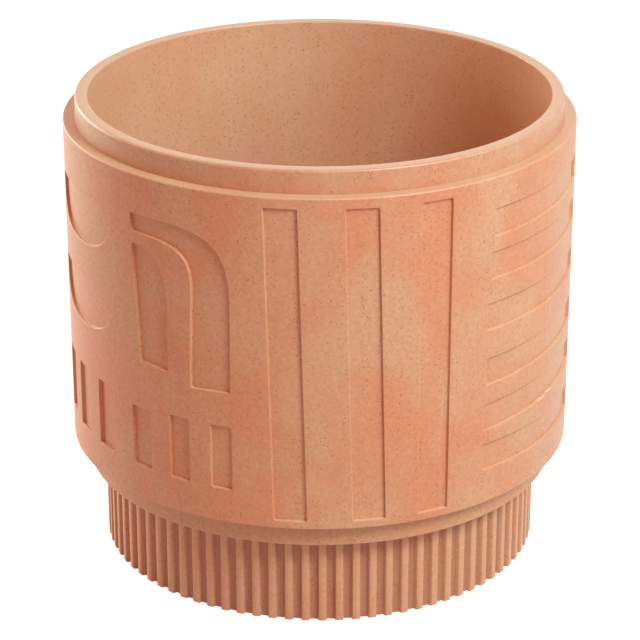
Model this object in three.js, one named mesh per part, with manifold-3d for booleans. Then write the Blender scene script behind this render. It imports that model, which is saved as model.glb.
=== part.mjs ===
// A round planter about 30 cm across: a drum with sunk geometric figures stands on a ribbed base,
// and a plain inner pot with a thick lip hangs inside it. Five stoppers close the drain holes.
// Millimetres, +Z up. The origin is under the middle of the base, and the front faces -Y.

import * as THREE from 'three';
import { mergeVertices } from 'three/addons/utils/BufferGeometryUtils.js';
import Module from 'manifold-3d';

const wasm = await Module();
wasm.setup();

// Driving dimensions
const TOTAL_HEIGHT = 285.5;
const DRUM_RADIUS = 152.5;
const DRUM_BOTTOM = 70.6;
const LEDGE_HEIGHT = 271.8;
const COLLAR_RADIUS = 144.9;
const LIP_WIDTH = 7.5;
const BAND_RADIUS = 143.6;
const BAND_BOTTOM = 55.5;
const RIB_COUNT = 84;
const RIB_RADIUS = 133.5;
const RIB_DEPTH = 2.3;
const WALL = 3.2;
const DRUM_WALL = 4.6;
const FIGURE_DEPTH = 2.5;
const DRAIN_HOLE_RADIUS = 8;
const DRAIN_HOLE_REACH = 75;
const FIT = 0.3;
const EDGE = 0.8;
const SIDES = 84;

// A cutter runs this far past a face that it opens, and joined solids overlap by the second length
const OVERRUN = 5;
const OVERLAP = 0.5;

// Colours of the plastic and of the rubber
const TERRACOTTA = 0xd8916c;
const TERRACOTTA_SHADE = 0xcb8460;
const TERRACOTTA_LIP = 0xe6b592;
const RUBBER = 0x8a4a34;

// Solids from closed surfaces

function signedVolume(positions, index) {
  let sum = 0;
  const corners = [new THREE.Vector3(), new THREE.Vector3(), new THREE.Vector3()];
  for (let i = 0; i < index.length; i += 3) {
    for (let j = 0; j < 3; j += 1) {
      corners[j].fromArray(positions, 3 * index[i + j]);
    }
    sum += corners[0].dot(corners[1].cross(corners[2])) / 6;
  }
  return sum;
}

function solidOf(geometry) {
  const bare = geometry.clone();
  bare.deleteAttribute('normal');
  bare.deleteAttribute('uv');
  const merged = mergeVertices(bare, 1e-4);
  const positions = new Float32Array(merged.attributes.position.array);
  const index = Array.from(merged.index.array);
  const faces = [];
  const insideOut = signedVolume(positions, index) < 0;
  for (let i = 0; i < index.length; i += 3) {
    const [a, b, c] = index.slice(i, i + 3);
    if (a !== b && b !== c && c !== a) {
      faces.push(a, insideOut ? c : b, insideOut ? b : c);
    }
  }
  return new wasm.Manifold(new wasm.Mesh({
    numProp: 3,
    vertProperties: positions,
    triVerts: new Uint32Array(faces),
  }));
}

function geometryOf(solid) {
  const mesh = solid.getMesh();
  const geometry = new THREE.BufferGeometry();
  geometry.setAttribute('position', new THREE.BufferAttribute(mesh.vertProperties, 3));
  geometry.setIndex(new THREE.BufferAttribute(mesh.triVerts, 1));
  geometry.computeVertexNormals();
  return geometry;
}

// A turned solid. The profile is a list of [radius, height] that starts and ends on the axis,
// or a loop, which is closed here
function turned(profile, sides = SIDES) {
  const points = profile.map(([radius, height]) => new THREE.Vector2(radius, height));
  if (profile[0][0] > 0) {
    points.push(points[0].clone());
  }
  return solidOf(new THREE.LatheGeometry(points, sides).rotateX(Math.PI / 2));
}

// A flat outline pulled up along Z
function raised(shape, height) {
  return new THREE.ExtrudeGeometry(shape, { depth: height, bevelEnabled: false, curveSegments: 4 });
}

function plastic(colour, roughness) {
  return new THREE.MeshStandardMaterial({ color: colour, roughness, metalness: 0 });
}

function piece(name, solid, material) {
  const mesh = new THREE.Mesh(geometryOf(solid), material);
  mesh.name = name;
  return mesh;
}

// Fluted base: a saucer on a ribbed stand. Its heights are measured from the floor.
// A rib's crest and flank are shares of the pitch, and its angle is in degrees from the front

const RIB = { crest: 0.42, flank: 0.08, firstCrest: 4.1 };
const GROOVE_RADIUS = RIB_RADIUS - RIB_DEPTH;
const BAND_TOP = DRUM_BOTTOM - FIT;
const BAND_INNER_RADIUS = BAND_RADIUS - WALL;
const BAND_CORNER = 1.5;
const WELL_RADIUS = GROOVE_RADIUS - WALL;
const WELL_FLOOR = 6.2;
const WELL_CORNER = 5;
const FOOT_RING_INNER_RADIUS = GROOVE_RADIUS - 11;
const UNDERSIDE_RISE = 2.6;

function ribbedOutline() {
  const pitch = 2 * Math.PI / RIB_COUNT;
  const crest = RIB.crest * pitch;
  const flank = RIB.flank * pitch;
  const outline = new THREE.Shape();
  for (let i = 0; i < RIB_COUNT; i += 1) {
    const start = THREE.MathUtils.degToRad(RIB.firstCrest) + i * pitch;
    const corners = [
      [start - flank, GROOVE_RADIUS],
      [start, RIB_RADIUS],
      [start + crest, RIB_RADIUS],
      [start + crest + flank, GROOVE_RADIUS],
    ];
    corners.forEach(([angle, radius], corner) => {
      const x = radius * Math.sin(angle);
      const y = -radius * Math.cos(angle);
      if (i === 0 && corner === 0) {
        outline.moveTo(x, y);
      } else {
        outline.lineTo(x, y);
      }
    });
  }
  outline.closePath();
  return outline;
}

function flutedBase() {
  const ribs = solidOf(raised(ribbedOutline(), BAND_BOTTOM));
  const band = turned([
    [WELL_RADIUS - OVERRUN, BAND_BOTTOM - OVERLAP],
    [GROOVE_RADIUS - OVERLAP, BAND_BOTTOM - OVERLAP],
    [GROOVE_RADIUS - OVERLAP, BAND_BOTTOM],
    [BAND_RADIUS - EDGE, BAND_BOTTOM],
    [BAND_RADIUS, BAND_BOTTOM + EDGE],
    [BAND_RADIUS, BAND_TOP],
    [WELL_RADIUS - OVERRUN, BAND_TOP],
  ]);
  const well = turned([
    [0, WELL_FLOOR],
    [WELL_RADIUS - WELL_CORNER, WELL_FLOOR],
    [WELL_RADIUS, WELL_FLOOR + WELL_CORNER],
    [WELL_RADIUS, BAND_BOTTOM + EDGE],
    [BAND_INNER_RADIUS - BAND_CORNER, BAND_BOTTOM + WALL],
    [BAND_INNER_RADIUS, BAND_BOTTOM + WALL + BAND_CORNER],
    [BAND_INNER_RADIUS, BAND_TOP + OVERRUN],
    [0, BAND_TOP + OVERRUN],
  ]);
  const underside = turned([
    [0, -OVERRUN],
    [FOOT_RING_INNER_RADIUS, -OVERRUN],
    [FOOT_RING_INNER_RADIUS, 0],
    [FOOT_RING_INNER_RADIUS - UNDERSIDE_RISE, UNDERSIDE_RISE],
    [0, UNDERSIDE_RISE],
  ]);
  const body = ribs.add(band).subtract(well).subtract(underside);
  return piece('fluted_base', body, plastic(TERRACOTTA_SHADE, 0.55));
}

// Figures sunk in the drum. Angles are in degrees round from the front, positive to the right,
// and heights are in millimetres from the floor. Everything repeats half a turn on.

const FIGURE_TURNS = [0, 180];
const TALL_BARS = { top: 265.6, foot: 75.3, width: 7.2 };
const TALL_BAR_PLACES = [
  { topLeft: -11.85, footLeft: -9.9 },
  { topLeft: 5.25, footLeft: 7.15 },
  { topLeft: 21.65, footLeft: 21.65 },
];
const CROSS_BARS = { right: 81, height: 16.7 };
const CROSS_BAR_PLACES = [
  { left: 40.0, leftTop: 252.8, rightTop: 254.0 },
  { left: 39.3, leftTop: 227.2, rightTop: 227.2 },
  { left: 38.5, leftTop: 196.3, rightTop: 196.3 },
  { left: 38.4, leftTop: 162.3, rightTop: 164.0 },
  { left: 38.2, leftTop: 133.6, rightTop: 137.5 },
  { left: 38.0, leftTop: 108.7, rightTop: 105.5 },
];
const DASHES_FOOT = 91.5;
const DASH_PLACES = [
  { left: -24.0, width: 4.9, top: 130.9 },
  { left: -34.3, width: 5.0, top: 131.1 },
  { left: -45.3, width: 5.8, top: 128.9 },
  { left: -58.4, width: 6.3, top: 132.6 },
  { left: -69.6, width: 6.1, top: 132.6 },
  { left: -80.6, width: 6.1, top: 132.6 },
  { left: -91.8, width: 6.1, top: 132.6 },
];
const BOWLS = { middle: -66, halfWidth: 15, height: 29.5, roundness: 2.5, steps: 14 };
const BOWL_TOPS = [243.3, 191.5];
const ARCH = { end: -44.4, top: 248.3, bendStart: -36.5, right: -19.2, bendEnd: 205, foot: 151.7 };
const ARCH_INSIDE = { end: -44.1, top: 237.2, bendStart: -42, right: -28.1, bendEnd: 212 };
const ARCH_FULLNESS = 0.76;
const PANE = { left: -44.1, footLeft: -42.4, top: 230.3, bendStart: -43.2, right: -34.2, bendEnd: 197 };
const PANE_FOOT = 158;
const PANE_FULLNESS = 0.66;
const BEND_STEPS = 8;
const DEGREES_PER_COLUMN = 4;

// A place on the drum, whose own heights start at its bottom edge
function spot(radius, angle, height) {
  const turn = THREE.MathUtils.degToRad(angle);
  return [radius * Math.sin(turn), -radius * Math.cos(turn), height - DRUM_BOTTOM];
}

// A curved cutter between two rails. Each rail is a list of [angle, height], and both have as
// many points. It reaches from the floor of the figure to just outside the drum
function cutter(railA, railB, turn) {
  const radii = [DRUM_RADIUS - FIGURE_DEPTH, DRUM_RADIUS + OVERRUN];
  const rows = railA.length;
  const widest = Math.max(...railA.map((point, i) => Math.abs(point[0] - railB[i][0])));
  const columns = 2 + Math.floor(widest / DEGREES_PER_COLUMN);
  const positions = [];
  for (const radius of radii) {
    for (let i = 0; i < rows; i += 1) {
      for (let j = 0; j < columns; j += 1) {
        const share = j / (columns - 1);
        const angle = THREE.MathUtils.lerp(railA[i][0], railB[i][0], share) + turn;
        const height = THREE.MathUtils.lerp(railA[i][1], railB[i][1], share);
        positions.push(...spot(radius, angle, height));
      }
    }
  }
  const at = (layer, i, j) => (layer * rows + i) * columns + j;
  const index = [];
  const quad = (a, b, c, d) => index.push(a, b, c, a, c, d);
  const last = columns - 1;
  for (let i = 0; i + 1 < rows; i += 1) {
    for (let j = 0; j < last; j += 1) {
      quad(at(0, i, j), at(0, i, j + 1), at(0, i + 1, j + 1), at(0, i + 1, j));
      quad(at(1, i, j), at(1, i + 1, j), at(1, i + 1, j + 1), at(1, i, j + 1));
    }
    quad(at(0, i, 0), at(0, i + 1, 0), at(1, i + 1, 0), at(1, i, 0));
    quad(at(0, i, last), at(1, i, last), at(1, i + 1, last), at(0, i + 1, last));
  }
  for (let j = 0; j < last; j += 1) {
    quad(at(0, 0, j), at(1, 0, j), at(1, 0, j + 1), at(0, 0, j + 1));
    quad(at(0, rows - 1, j), at(0, rows - 1, j + 1), at(1, rows - 1, j + 1), at(1, rows - 1, j));
  }
  const geometry = new THREE.BufferGeometry();
  geometry.setAttribute('position', new THREE.Float32BufferAttribute(positions, 3));
  geometry.setIndex(index);
  return solidOf(geometry);
}

function line(from, to, steps) {
  return Array.from({ length: steps + 1 }, (_, i) => [
    THREE.MathUtils.lerp(from[0], to[0], i / steps),
    THREE.MathUtils.lerp(from[1], to[1], i / steps),
  ]);
}

// A quarter bend from a level start to an upright end. Fullness 0 cuts the corner, 1 fills it
function bend({ bendStart, top, right, bendEnd }, fullness) {
  const curve = new THREE.CubicBezierCurve(
    new THREE.Vector2(bendStart, top),
    new THREE.Vector2(THREE.MathUtils.lerp(bendStart, right, fullness), top),
    new THREE.Vector2(right, THREE.MathUtils.lerp(bendEnd, top, fullness)),
    new THREE.Vector2(right, bendEnd),
  );
  return curve.getPoints(BEND_STEPS).map((point) => [point.x, point.y]);
}

function tallBars(turn) {
  const { top, foot, width } = TALL_BARS;
  return TALL_BAR_PLACES.map(({ topLeft, footLeft }) => cutter(
    line([topLeft, top], [footLeft, foot], 1),
    line([topLeft + width, top], [footLeft + width, foot], 1),
    turn,
  ));
}

function crossBars(turn) {
  const { right, height } = CROSS_BARS;
  return CROSS_BAR_PLACES.map(({ left, leftTop, rightTop }) => {
    const steps = Math.round((right - left) / DEGREES_PER_COLUMN);
    const upper = line([left, leftTop], [right, rightTop], steps);
    return cutter(upper, upper.map(([angle, top]) => [angle, top - height]), turn);
  });
}

function dashes(turn) {
  return DASH_PLACES.map(({ left, width, top }) => cutter(
    line([left, top], [left, DASHES_FOOT], 1),
    line([left + width, top], [left + width, DASHES_FOOT], 1),
    turn,
  ));
}

function bowls(turn) {
  const { middle, halfWidth, height, roundness, steps } = BOWLS;
  const bluntEnd = 0.985;
  return BOWL_TOPS.map((top) => {
    const brim = line([middle - halfWidth, top], [middle + halfWidth, top], steps);
    const belly = brim.map(([angle]) => {
      const reach = Math.min(Math.abs(angle - middle) / halfWidth, bluntEnd);
      return [angle, top - height * (1 - reach ** roundness) ** (1 / roundness)];
    });
    return cutter(brim, belly, turn);
  });
}

// A half arch, level at its left end and upright at its foot, with a pane under it
function archAndPane(turn) {
  const footSpread = -0.2;
  const archOuter = [
    [ARCH.end, ARCH.top],
    ...bend(ARCH, ARCH_FULLNESS),
    [ARCH.right + footSpread, ARCH.foot],
  ];
  const archInner = [
    [ARCH_INSIDE.end, ARCH_INSIDE.top],
    ...bend(ARCH_INSIDE, ARCH_FULLNESS),
    [ARCH_INSIDE.right + footSpread, ARCH.foot],
  ];
  const paneRight = [...bend(PANE, PANE_FULLNESS), [PANE.right + footSpread, PANE_FOOT]];
  const paneLeft = paneRight.map(([, height]) => [
    THREE.MathUtils.mapLinear(height, PANE.top, PANE_FOOT, PANE.left, PANE.footLeft),
    height,
  ]);
  return [cutter(archOuter, archInner, turn), cutter(paneLeft, paneRight, turn)];
}

// Outer pot: its heights are measured from the bottom edge of the drum

const DRUM_INNER_RADIUS = DRUM_RADIUS - DRUM_WALL;
const RING_FLOOR = { thickness: 4, innerRadius: 118 };
const SPIGOT = { depth: 10.6, radius: BAND_INNER_RADIUS - 0.8 };
const LEDGE = { thickness: 4.2, innerRadius: 141.4, fillet: 2 };

function outerPot() {
  const ledge = LEDGE_HEIGHT - DRUM_BOTTOM;
  let body = turned([
    [DRUM_RADIUS - EDGE, 0],
    [DRUM_RADIUS, EDGE],
    [DRUM_RADIUS, ledge - EDGE],
    [DRUM_RADIUS - EDGE, ledge],
    [LEDGE.innerRadius, ledge],
    [LEDGE.innerRadius, ledge - LEDGE.thickness],
    [DRUM_INNER_RADIUS, ledge - LEDGE.thickness - LEDGE.fillet],
    [DRUM_INNER_RADIUS, RING_FLOOR.thickness],
    [RING_FLOOR.innerRadius, RING_FLOOR.thickness],
    [RING_FLOOR.innerRadius, 0],
    [SPIGOT.radius - WALL, 0],
    [SPIGOT.radius - WALL, -SPIGOT.depth],
    [SPIGOT.radius - EDGE, -SPIGOT.depth],
    [SPIGOT.radius, EDGE - SPIGOT.depth],
    [SPIGOT.radius, 0],
  ]);
  for (const turn of FIGURE_TURNS) {
    const figures = [
      ...tallBars(turn),
      ...crossBars(turn),
      ...dashes(turn),
      ...bowls(turn),
      ...archAndPane(turn),
    ];
    for (const figure of figures) {
      body = body.subtract(figure);
    }
  }
  return piece('outer_pot', body, plastic(TERRACOTTA, 0.5));
}

// Inner pot: its heights are measured from the foot ring that it stands on

const INNER_POT_FOOT = DRUM_BOTTOM + RING_FLOOR.thickness + FIT;
const INNER_POT_SIDES = 72;
const INNER_FLOOR = { top: 5, underside: 1.5, outerCorner: 4, innerCorner: 5 };
const FOOT_RING = { outer: 131, inner: 122 };
const LIP_ROUND = 1.6;
const LIP_INNER_RADIUS = COLLAR_RADIUS - LIP_WIDTH;
const FLOOR_INNER_RADIUS = LIP_INNER_RADIUS - 2.6;
const FLOOR_OUTER_RADIUS = FLOOR_INNER_RADIUS + WALL;

const DRAIN_HOLES = {
  centre: [0, 0],
  front: [0, -DRAIN_HOLE_REACH],
  right: [DRAIN_HOLE_REACH, 0],
  back: [0, DRAIN_HOLE_REACH],
  left: [-DRAIN_HOLE_REACH, 0],
};

function innerPot() {
  const lip = TOTAL_HEIGHT - INNER_POT_FOOT;
  const collarFoot = LEDGE_HEIGHT + FIT - INNER_POT_FOOT;
  let body = turned([
    [0, INNER_FLOOR.underside],
    [FOOT_RING.inner, INNER_FLOOR.underside],
    [FOOT_RING.inner, 0],
    [FOOT_RING.outer, 0],
    [FOOT_RING.outer, INNER_FLOOR.underside],
    [FLOOR_OUTER_RADIUS - INNER_FLOOR.outerCorner, INNER_FLOOR.underside],
    [FLOOR_OUTER_RADIUS, INNER_FLOOR.underside + INNER_FLOOR.outerCorner],
    [LIP_INNER_RADIUS + WALL, collarFoot],
    [COLLAR_RADIUS + OVERLAP, collarFoot],
    [COLLAR_RADIUS, lip - LIP_ROUND],
    [COLLAR_RADIUS - 0.4 * LIP_ROUND, lip - 0.3 * LIP_ROUND],
    [COLLAR_RADIUS - LIP_ROUND, lip],
    [LIP_INNER_RADIUS + EDGE, lip],
    [LIP_INNER_RADIUS, lip - EDGE],
    [FLOOR_INNER_RADIUS, INNER_FLOOR.top + INNER_FLOOR.innerCorner],
    [FLOOR_INNER_RADIUS - 0.3 * INNER_FLOOR.innerCorner, INNER_FLOOR.top + 0.3 * INNER_FLOOR.innerCorner],
    [FLOOR_INNER_RADIUS - INNER_FLOOR.innerCorner, INNER_FLOOR.top],
    [0, INNER_FLOOR.top],
  ], INNER_POT_SIDES);
  for (const [x, y] of Object.values(DRAIN_HOLES)) {
    const hole = new THREE.CylinderGeometry(DRAIN_HOLE_RADIUS, DRAIN_HOLE_RADIUS, 4 * INNER_FLOOR.top, 24);
    body = body.subtract(solidOf(hole.rotateX(Math.PI / 2).translate(x, y, 0)));
  }
  return piece('inner_pot', body, plastic(TERRACOTTA_LIP, 0.5));
}

// Drain plugs: a flange on the pot's floor, a stem in the hole and a tab to pull.
// Heights are measured from the underside of the flange

const FLANGE = { radius: 12, height: 2.4 };
const STEM = { radius: DRAIN_HOLE_RADIUS - 0.6, length: 3.4 };
const TAB = { halfWidth: 6, topHalfWidth: 5, height: 8, shoulder: 5, thickness: 3.2 };
const PLUG_SIDES = 28;

function drainPlug(name) {
  const body = turned([
    [0, -STEM.length],
    [STEM.radius - EDGE, -STEM.length],
    [STEM.radius, EDGE - STEM.length],
    [STEM.radius, 0],
    [FLANGE.radius, 0],
    [FLANGE.radius, FLANGE.height - EDGE],
    [FLANGE.radius - EDGE, FLANGE.height],
    [0, FLANGE.height],
  ], PLUG_SIDES);
  const outline = new THREE.Shape();
  outline.moveTo(-TAB.halfWidth, 0);
  outline.lineTo(TAB.halfWidth, 0);
  outline.lineTo(TAB.topHalfWidth, TAB.shoulder);
  outline.quadraticCurveTo(TAB.topHalfWidth, TAB.height, 0, TAB.height);
  outline.quadraticCurveTo(-TAB.topHalfWidth, TAB.height, -TAB.topHalfWidth, TAB.shoulder);
  outline.closePath();
  const tab = raised(outline, TAB.thickness).rotateX(Math.PI / 2);
  tab.translate(0, TAB.thickness / 2, FLANGE.height - OVERLAP);
  return piece(name, body.add(solidOf(tab)), plastic(RUBBER, 0.8));
}

// Assembly

const planter = new THREE.Group();
planter.add(flutedBase());

const drum = outerPot();
drum.position.z = DRUM_BOTTOM;
planter.add(drum);

const insert = new THREE.Group();
insert.position.z = INNER_POT_FOOT;
insert.add(innerPot());
for (const [place, [x, y]] of Object.entries(DRAIN_HOLES)) {
  const plug = drainPlug(`drain_plug_${place}`);
  plug.position.set(x, y, INNER_FLOOR.top + FIT);
  insert.add(plug);
}
planter.add(insert);

export default planter;
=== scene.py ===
# A round planter about 30 cm across, moulded in speckled terracotta-coloured plastic: a drum with
# sunk geometric figures on a ribbed base, and a plain inner pot with five stoppers inside it.
# Blender units are metres. Sizes below are in millimetres unless a name says otherwise, heights are
# from the floor, and angles are in degrees round from the front (-Y), positive towards +X.
import math

import bmesh
import bpy
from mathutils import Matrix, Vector
from mathutils.geometry import delaunay_2d_cdt


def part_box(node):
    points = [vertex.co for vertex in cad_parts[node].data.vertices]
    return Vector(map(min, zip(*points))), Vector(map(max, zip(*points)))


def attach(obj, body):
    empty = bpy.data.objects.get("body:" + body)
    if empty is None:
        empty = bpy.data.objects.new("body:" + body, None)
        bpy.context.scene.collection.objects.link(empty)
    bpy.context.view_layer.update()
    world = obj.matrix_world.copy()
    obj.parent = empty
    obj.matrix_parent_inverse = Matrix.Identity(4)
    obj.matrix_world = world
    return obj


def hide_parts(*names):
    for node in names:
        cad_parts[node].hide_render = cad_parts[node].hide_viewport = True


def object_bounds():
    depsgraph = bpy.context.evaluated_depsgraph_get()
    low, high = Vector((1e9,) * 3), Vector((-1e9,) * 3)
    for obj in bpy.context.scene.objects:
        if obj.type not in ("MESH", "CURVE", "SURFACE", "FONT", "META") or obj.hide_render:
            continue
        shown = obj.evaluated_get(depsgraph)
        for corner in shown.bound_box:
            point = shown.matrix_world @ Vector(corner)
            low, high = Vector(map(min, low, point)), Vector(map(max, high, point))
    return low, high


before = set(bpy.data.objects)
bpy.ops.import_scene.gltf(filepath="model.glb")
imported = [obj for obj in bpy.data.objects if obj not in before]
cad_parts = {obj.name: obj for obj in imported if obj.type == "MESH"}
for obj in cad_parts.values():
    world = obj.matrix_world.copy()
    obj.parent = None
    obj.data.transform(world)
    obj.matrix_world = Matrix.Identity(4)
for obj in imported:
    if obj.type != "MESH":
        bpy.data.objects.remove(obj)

cad_low, cad_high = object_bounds()
MM = 0.001


# Fluted base. A saucer and stand in one injection moulding of speckled plastic: a plain band that
# carries the drum, over upright ribs all round. Water from the pot above collects in its well.
_, base_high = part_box("fluted_base")
BAND_RADIUS = base_high.x / MM
BAND_TOP = base_high.z / MM
BAND_BOTTOM = 55.5
BASE_WALL = 3.2
RIB_COUNT = 84
RIB_RADIUS = 133.5
RIB_DEPTH = 2.3
RIB_CREST_SHARE = 0.42
RIB_FLANK_SHARE = 0.08
FIRST_RIB_ANGLE = 4.1
RIB_EDGE_DROP = 0.06
RIB_EDGE_SHARE = 0.02
GROOVE_RADIUS = RIB_RADIUS - RIB_DEPTH
WELL_RADIUS = GROOVE_RADIUS - BASE_WALL
WELL_FLOOR = 6.2
WELL_SHOULDER = BAND_BOTTOM + 1
BAND_INNER_RADIUS = BAND_RADIUS - BASE_WALL
FOOT_RING_WIDTH = 11
FOOT_RING_INNER_RADIUS = GROOVE_RADIUS - FOOT_RING_WIDTH
UNDERSIDE_RISE = 2.6
BASE_TONE = (0.61, 0.24, 0.122, 1)
BASE_SANDY_TONE = (0.60, 0.29, 0.162, 1)
# Paler colour for the base's edges: partly wear, partly painted highlight.
BASE_PALE_TONE = (0.78, 0.42, 0.26, 1)
# Painted shade: a darker tone laid into the rib grooves, nearer the axis, for the shade that falls there.
GROOVE_PAINTED_SHADE = (0.36, 0.12, 0.06, 1)
GROOVE_PAINTED_SHADE_SHARE = 0.36
EDGE_GUARD = 0.35
ARC_STEP = 24
TOUCHING = 0.001
WELD_DISTANCE = 0.002


def on_circle(radius, angle, height):
    """A point in metres from a radius, an angle round from the front and a height."""
    turn = math.radians(angle)
    return Vector((radius * math.sin(turn), -radius * math.cos(turn), height)) * MM


def round_corners(points, guard=EDGE_GUARD):
    """An outline of (x, y, corner radius, mark) as (x, y, mark), with each corner turned into an arc.
    A guard point on each side of an arc keeps the shading of the flats flat. An open outline starts
    and ends with a corner radius of 0."""
    made = []
    count = len(points)
    for i, (x, y, radius, mark) in enumerate(points):
        corner = Vector((x, y))
        if radius == 0:
            made.append(Vector((x, y, mark)))
            continue
        before = (Vector(points[i - 1][:2]) - corner).normalized()
        after = (Vector(points[(i + 1) % count][:2]) - corner).normalized()
        opening = before.angle(after)
        reach = radius / math.tan(opening / 2)
        centre = corner + (before + after).normalized() * radius / math.sin(opening / 2)
        start = (corner + before * reach - centre).normalized()
        end = (corner + after * reach - centre).normalized()
        steps = max(2, math.ceil((180 - math.degrees(opening)) / ARC_STEP))
        arc = [centre + start.slerp(end, j / steps) * radius for j in range(steps + 1)]
        stretch = [corner + before * (reach + guard), *arc, corner + after * (reach + guard)]
        made += [Vector((point.x, point.y, mark)) for point in stretch]
    return made


def swept(profile, angles, radius_of):
    """Vertices and faces of a profile carried round the Z axis. It runs anticlockwise in radius and
    height, so that the faces look outwards. radius_of says how far out a profile point is at a column."""
    vertices = []
    for point in profile:
        vertices += [on_circle(radius_of(point, j), angle, point.y) for j, angle in enumerate(angles)]
    width = len(angles)
    faces = []
    for i in range(len(profile) - 1):
        for j in range(width - 1):
            low = i * width + j
            faces.append((low, low + 1, low + width + 1, low + width))
    return vertices, faces


def mesh_object(name, vertices, faces):
    """A mesh object whose touching vertices are merged."""
    mesh = bpy.data.meshes.new(name)
    mesh.from_pydata(vertices, [], faces)
    work = bmesh.new()
    work.from_mesh(mesh)
    bmesh.ops.remove_doubles(work, verts=work.verts, dist=TOUCHING * MM)
    work.to_mesh(mesh)
    work.free()
    made = bpy.data.objects.new(name, mesh)
    bpy.context.scene.collection.objects.link(made)
    return made


def smooth(piece, crisp_angle=50):
    """Smooth shading, with edges sharper than the angle left crisp."""
    piece.data.shade_smooth()
    piece.data.set_sharp_from_angle(angle=math.radians(crisp_angle))


def base_slice():
    """One pitch of the base: along the underside, up the rib, over the band and down into the well.
    Its columns are (share of the pitch, share of the rib's depth), from a crest across a groove."""
    profile = round_corners([
        (0, UNDERSIDE_RISE, 0, 0),
        (FOOT_RING_INNER_RADIUS - UNDERSIDE_RISE, UNDERSIDE_RISE, 0.8, 0),
        (FOOT_RING_INNER_RADIUS, 0, 0.5, 0),
        (RIB_RADIUS, 0, 0.5, 1),
        (RIB_RADIUS, BAND_BOTTOM, 0.5, 1),
        (BAND_RADIUS, BAND_BOTTOM, 0.8, 0),
        (BAND_RADIUS, BAND_TOP, 0.5, 0),
        (BAND_INNER_RADIUS, BAND_TOP, 0.5, 0),
        (BAND_INNER_RADIUS, BAND_BOTTOM + BASE_WALL, 1.6, 0),
        (WELL_RADIUS, WELL_SHOULDER, 1.6, 0),
        (WELL_RADIUS, WELL_FLOOR, 5, 0),
        (0, WELL_FLOOR, 0, 0),
    ])
    crest_end = RIB_CREST_SHARE
    groove_start = RIB_CREST_SHARE + RIB_FLANK_SHARE
    groove_end = 1 - RIB_FLANK_SHARE
    edge = RIB_EDGE_SHARE
    columns = [
        (0, RIB_EDGE_DROP), (edge, 0), (crest_end - edge, 0), (crest_end, RIB_EDGE_DROP),
        (groove_start, 1 - RIB_EDGE_DROP), (groove_start + edge, 1),
        (groove_end - edge, 1), (groove_end, 1 - RIB_EDGE_DROP), (1, RIB_EDGE_DROP),
    ]
    angles = [FIRST_RIB_ANGLE + share * 360 / RIB_COUNT for share, _ in columns]
    return swept(profile, angles, lambda point, j: point.x - RIB_DEPTH * columns[j][1] * point.z)


def node(tree, kind, inputs=None, **settings):
    """A node with its settings. An input takes either a value or the socket that feeds it."""
    made = tree.nodes.new(kind)
    for key, value in settings.items():
        setattr(made, key, value)
    for socket, value in (inputs or {}).items():
        if isinstance(value, bpy.types.NodeSocket):
            tree.links.new(value, made.inputs[socket])
        else:
            made.inputs[socket].default_value = value
    return made


def maths(tree, operation, *values):
    """The result of a math node on values or sockets."""
    return node(tree, "ShaderNodeMath", dict(enumerate(values)), operation=operation).outputs[0]


def repeat_tree():
    """Geometry nodes that repeat a slice round the Z axis and weld the copies into one closed body."""
    tree = bpy.data.node_groups.new("repeat_slice_round_axis", "GeometryNodeTree")
    for name, kind, direction in (
        ("Slice", "NodeSocketGeometry", "INPUT"),
        ("Rib Count", "NodeSocketInt", "INPUT"),
        ("Weld Distance", "NodeSocketFloat", "INPUT"),
        ("Plastic", "NodeSocketMaterial", "INPUT"),
        ("Body", "NodeSocketGeometry", "OUTPUT"),
    ):
        tree.interface.new_socket(name, in_out=direction, socket_type=kind)
    given = node(tree, "NodeGroupInput").outputs
    points = node(tree, "GeometryNodePoints", {"Count": given["Rib Count"]})
    index = node(tree, "GeometryNodeInputIndex")
    share = maths(tree, "DIVIDE", index.outputs[0], given["Rib Count"])
    turn = node(tree, "ShaderNodeCombineXYZ", {"Z": maths(tree, "MULTIPLY", share, math.tau)})
    copies = node(tree, "GeometryNodeInstanceOnPoints", {
        "Points": points.outputs[0],
        "Instance": given["Slice"],
        "Rotation": turn.outputs[0],
    })
    real = node(tree, "GeometryNodeRealizeInstances", {"Geometry": copies.outputs[0]})
    welded = node(tree, "GeometryNodeMergeByDistance", {
        "Geometry": real.outputs[0],
        "Distance": given["Weld Distance"],
    })
    finished = node(tree, "GeometryNodeSetMaterial", {
        "Geometry": welded.outputs[0],
        "Material": given["Plastic"],
    })
    node(tree, "NodeGroupOutput", {"Body": finished.outputs[0]})
    return tree


def shader_group(name, inputs, outputs):
    """An empty shader group with named inputs and outputs, and the sockets that its inputs arrive on."""
    tree = bpy.data.node_groups.new(name, "ShaderNodeTree")
    for socket, kind, value in inputs:
        made = tree.interface.new_socket(socket, in_out="INPUT", socket_type="NodeSocket" + kind)
        made.default_value = value
    for socket, kind in outputs:
        tree.interface.new_socket(socket, in_out="OUTPUT", socket_type="NodeSocket" + kind)
    return tree, node(tree, "NodeGroupInput").outputs


def mix_colours(tree, factor, first, second, blend_type="MIX"):
    """The colour between two colours. A Mix node takes them at its inputs 6 and 7, and gives the mixed
    one at its output 2."""
    mixed = node(tree, "ShaderNodeMix", {0: factor}, data_type="RGBA", blend_type=blend_type)
    for socket, value in ((6, first), (7, second)):
        if isinstance(value, bpy.types.NodeSocket):
            tree.links.new(value, mixed.inputs[socket])
        else:
            mixed.inputs[socket].default_value = value
    return mixed.outputs[2]


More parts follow.
